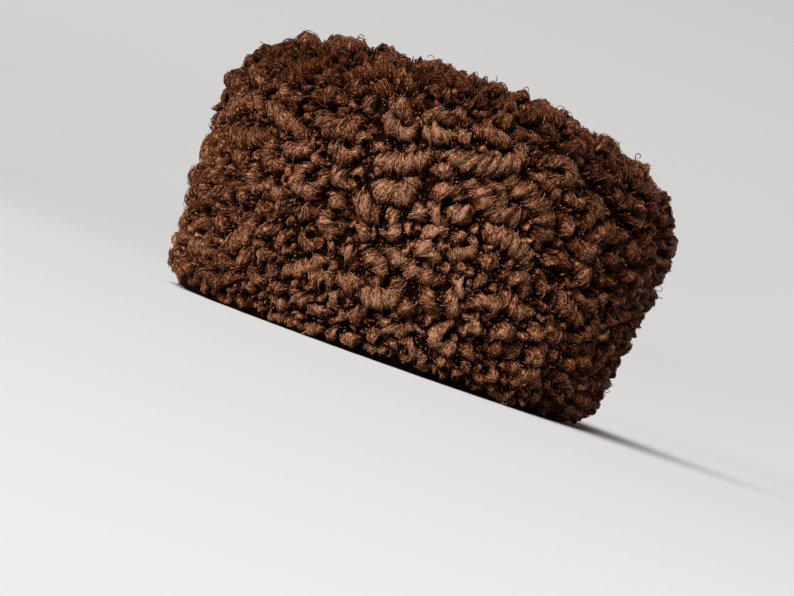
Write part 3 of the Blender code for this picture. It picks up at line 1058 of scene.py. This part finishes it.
def hide_material(name):
    """Brown suede with a soft nap inside; outside, painted as dark as the shade at the fur's roots."""
    made = Nodes(name)
    place = made.add("ShaderNodeTexCoord").outputs["Object"]
    grain = made.noise(place, (900, 900, 900), 3.0)
    cloud = made.noise(place, (60, 60, 60), 2.0)
    mixed = made.plus(made.times(grain, 0.6), made.times(cloud, 0.4))
    mixed = made.plus(0.45, made.times(made.span(mixed, 0.3, 0.7), 0.55))
    # Painted shade: the outside, under the curls, goes to the roots' dark colour
    mixed = made.times(mixed, made.minus(1.0, made.attribute("fall", "Fac")))
    made.bump(0.5, 0.0004, grain)
    made.surface(made.ramp(mixed, ((0.0, ROOT_SHADE_COLOUR), (1.0, SUEDE_COLOUR))), 0.9, 0.02)
    return made.material


# Paper, with painted shade to the back: how pale it is at lengths from the camera in metres, and how far
# that way turns
PAPER_SHADE_TONES = (
    (-0.53, 0.832), (-0.51, 0.810), (-0.48, 0.785), (-0.44, 0.745), (-0.30, 0.710),
    (0.0, 0.695), (1.2, 0.650), (1.9, 0.560), (3.1, 0.510),
)
PAPER_TURN = 0.35


def paper_material(name, away):
    """Matt paper, painted darker towards the back as shade."""
    made = Nodes(name)
    place = made.add("ShaderNodeTexCoord").outputs["Object"]
    run = made.vectors("DOT_PRODUCT", place, tuple(away), "Value")
    first, last = PAPER_SHADE_TONES[0][0], PAPER_SHADE_TONES[-1][0]
    share = made.span(run, first, last)
    stops = [((at - first) / (last - first), (tone, tone, tone)) for at, tone in PAPER_SHADE_TONES]
    made.surface(made.ramp(share, stops), 0.9, 0.05)
    return made.material


# Sweep: half its width, place, rounding, steps and height of its wall, and its drop
FLOOR_HALF = 300.0
WALL_PLACE = 1.0
SWEEP_ROUNDING = 4.0
SWEEP_STEPS = 24
WALL_HEIGHT = 8.0
FLOOR_DROP = 0.0002


def add_sweep():
    """Seamless pale paper: a floor that sweeps up behind the hat. It throws no light back."""
    line = [(-FLOOR_HALF, 0.0)]
    for angle in np.linspace(0, math.pi / 2, SWEEP_STEPS):
        run = WALL_PLACE + SWEEP_ROUNDING * math.sin(angle)
        line.append((run, SWEEP_ROUNDING * (1 - math.cos(angle))))
    line.append((WALL_PLACE + SWEEP_ROUNDING, WALL_HEIGHT))
    away = Vector((-math.sin(CAMERA_AZIMUTH), math.cos(CAMERA_AZIMUTH), 0))
    side = Vector((away.y, -away.x, 0))
    points = []
    for run, height in line:
        for share in (-FLOOR_HALF, FLOOR_HALF):
            points.append(away * run + side * share + Vector((0, 0, height - FLOOR_DROP)))
    faces = [(2 * i, 2 * i + 1, 2 * i + 3, 2 * i + 2) for i in range(len(line) - 1)]
    mesh = bpy.data.meshes.new("sweep")
    mesh.from_pydata(points, [], faces)
    mesh.shade_smooth()
    mesh.materials.append(paper_material("pale_paper", away - PAPER_TURN * side))
    sweep = add_object("sweep", mesh)
    sweep.visible_diffuse = False
    return sweep


# Lights: azimuth, elevation and spread in degrees, strength, and the sweep left out or alone
LIGHTS = (
    ("key", 14, 24, 18, 4.75, "EXCLUDE"),
    ("fill", 70, 20, 60, 0.25, "EXCLUDE"),
    ("back", 235, 22, 60, 2.2, "EXCLUDE"),
    ("side", 165, 26, 50, 1.8, "EXCLUDE"),
    ("bounce", 40, -22, 90, 0.25, "EXCLUDE"),
    ("paper", 10, 48, 50, 4.0, "INCLUDE"),
)


def direction(azimuth, elevation):
    """Unit vector from the hat to where a light or the camera stands."""
    flat = math.cos(elevation)
    return Vector((math.sin(azimuth) * flat, -math.cos(azimuth) * flat, math.sin(elevation)))


def add_sun(sweep, name, azimuth, elevation, spread, strength, state):
    """A wide soft light from far away. EXCLUDE leaves the sweep out, and INCLUDE lights it alone."""
    data = bpy.data.lights.new(name, "SUN")
    data.angle, data.energy = math.radians(spread), strength
    light = add_object(name, data)
    back = direction(math.radians(azimuth), math.radians(elevation))
    light.rotation_euler = back.to_track_quat("Z", "Y").to_euler()
    linked = bpy.data.collections.new(f"{name}_paper")
    linked.objects.link(sweep)
    linked.collection_objects[0].light_linking.link_state = state
    light.light_linking.receiver_collection = linked
    if state == "EXCLUDE":
        light.light_linking.blocker_collection = linked


# World: colour and strength of its light, and the colour that the camera sees
WORLD_LIGHT = (1, 0.84, 0.68, 1)
WORLD_STRENGTH = 0.10
WORLD_SEEN = (0.62, 0.61, 0.60, 1)


def add_world():
    """Faint warm light from all round, and a pale ground to the camera alone."""
    world = bpy.data.worlds.new("world")
    world.use_nodes = True
    tree = world.node_tree
    background = tree.nodes["Background"]
    background.inputs["Color"].default_value = WORLD_LIGHT
    background.inputs["Strength"].default_value = WORLD_STRENGTH
    seen = tree.nodes.new("ShaderNodeBackground")
    seen.inputs["Color"].default_value = WORLD_SEEN
    mixed = tree.nodes.new("ShaderNodeMixShader")
    tree.links.new(tree.nodes.new("ShaderNodeLightPath").outputs["Is Camera Ray"], mixed.inputs[0])
    tree.links.new(background.outputs["Background"], mixed.inputs[1])
    tree.links.new(seen.outputs["Background"], mixed.inputs[2])
    tree.links.new(mixed.outputs["Shader"], tree.nodes["World Output"].inputs["Surface"])
    bpy.context.scene.world = world


def add_camera():
    """The camera at the photograph's angle to the hat, rolled as the hat is tilted there."""
    back = direction(CAMERA_AZIMUTH, CAMERA_ELEVATION)
    target = Vector((0, 0, TARGET_HEIGHT))
    across = (TARGET_PIXEL[0] - FRAME_WIDTH / 2) / FOCAL_PIXELS
    up = (FRAME_HEIGHT / 2 - TARGET_PIXEL[1]) / FOCAL_PIXELS
    aim = Vector((across, up, -1)).rotation_difference(Vector((0, 0, -1))).to_matrix()
    data = bpy.data.cameras.new("camera")
    data.sensor_width = SENSOR
    data.lens = FOCAL_PIXELS * SENSOR / FRAME_WIDTH
    data.clip_start = CLIP_START
    camera = add_object("camera", data)
    look = (-back).to_track_quat("-Z", "Y").to_matrix()
    turned = look @ Matrix.Rotation(CAMERA_ROLL, 3, "Z") @ aim
    camera.matrix_world = Matrix.Translation(target + back * CAMERA_DISTANCE) @ turned.to_4x4()
    bpy.context.scene.camera = camera


# Pieces of the curls: quarters of the band in turn from +X, and halves of the crown
BAND_PARTS = ("left", "back", "right", "front")
CROWN_PARTS = ("front", "back")


def add_curls(chart, curls, part, names, node, slot, fur, rng):
    """The curls and locks of a chart, a piece for each part of it."""
    for number, name in enumerate(names):
        theirs = {key: column[part == number] for key, column in curls.items()}
        shape = joined([curls_over(chart, theirs, rng), locks_over(chart, theirs, rng)])
        add_piece(name, shape, node, fur)


def add_hairs(chart, curls, name, node, slot, fur, rng):
    """The stray hairs, loops and under-fur of a chart, as one piece."""
    loose = [hairs_over(chart, curls, rng), loops_over(chart, curls, rng), under_fur(chart, rng)]
    add_piece(name, joined(loose), node, fur)


def build_hat():
    fur = fur_material("brown_fur")
    hide = hide_material("hide_and_painted_shade")
    rng = np.random.default_rng(SEED)
    band, crown = Band(), Crown()
    band.part()
    band_curls = pack(band, rng)
    meet_band(crown, band_curls)
    crown_curls = pack(crown, rng)
    band_hide(hide)
    crown_hide(hide)
    side, top = ("side_band", "side_fur", fur, rng), ("crown_top", "crown_fur", fur, rng)
    quarter = np.round(band_curls["place"][:, 0] / BAND_ROUND * 360 / 90).astype(int) % 4
    add_curls(band, band_curls, quarter, [f"band_curls_{name}" for name in BAND_PARTS], *side)
    half = (crown_curls["place"][:, 1] > 0).astype(int)
    add_curls(crown, crown_curls, half, [f"crown_curls_{name}" for name in CROWN_PARTS], *top)
    add_hairs(band, band_curls, "band_hairs", *side)
    add_hairs(crown, crown_curls, "crown_hairs", *top)


add_camera()
build_hat()
paper = add_sweep()
for values in LIGHTS:
    add_sun(paper, *values)
add_world()
bpy.context.scene.view_settings.view_transform = "Standard"
